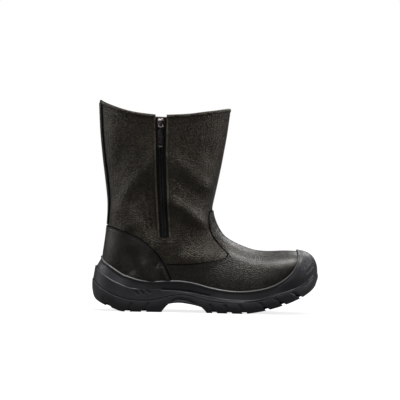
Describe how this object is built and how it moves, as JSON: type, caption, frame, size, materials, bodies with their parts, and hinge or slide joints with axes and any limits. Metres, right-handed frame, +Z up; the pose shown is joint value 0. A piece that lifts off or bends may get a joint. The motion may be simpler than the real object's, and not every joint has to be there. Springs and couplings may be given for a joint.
{
  "type": "side-zip safety boot",
  "caption": "Mid-calf black leather safety boot for the left foot, with a side zip, moulded two-layer sole, toe bumper and heel cup.",
  "frame": {"origin": "middle of the bounding box, on the floor under the sole", "axes": "+X to the toe, +Y to the outer side of the foot, +Z up; the zip is on the inner side, at -Y"},
  "size_m": [0.3058, 0.1153, 0.2855],
  "materials": {
    "leather": "pebbled black leather, satin",
    "sole": "moulded black polyurethane, satin",
    "lining": "dark grey felt sock",
    "textile": "black woven tape and coil",
    "metal": "black lacquered metal"
  },
  "bodies": {
    "boot": {"upper": "leather", "vamp": "leather", "heel_counter": "leather", "back_stay": "leather", "collar_binding": "leather", "midsole": "sole", "outsole": "sole", "insole": "lining", "zip_tape": "textile", "zip_chain": "textile", "zip_slider": "metal"},
    "pull_tab": {"zip_pull_tab": "metal"}
  },
  "joints": [
    {"name": "pull_tab_swing", "type": "hinge", "parent": "boot", "child": "pull_tab", "pos_m": [-0.06273, -0.04892, 0.247], "axis": [-1, 0, 0], "range_deg": [0, 165]}
  ]
}
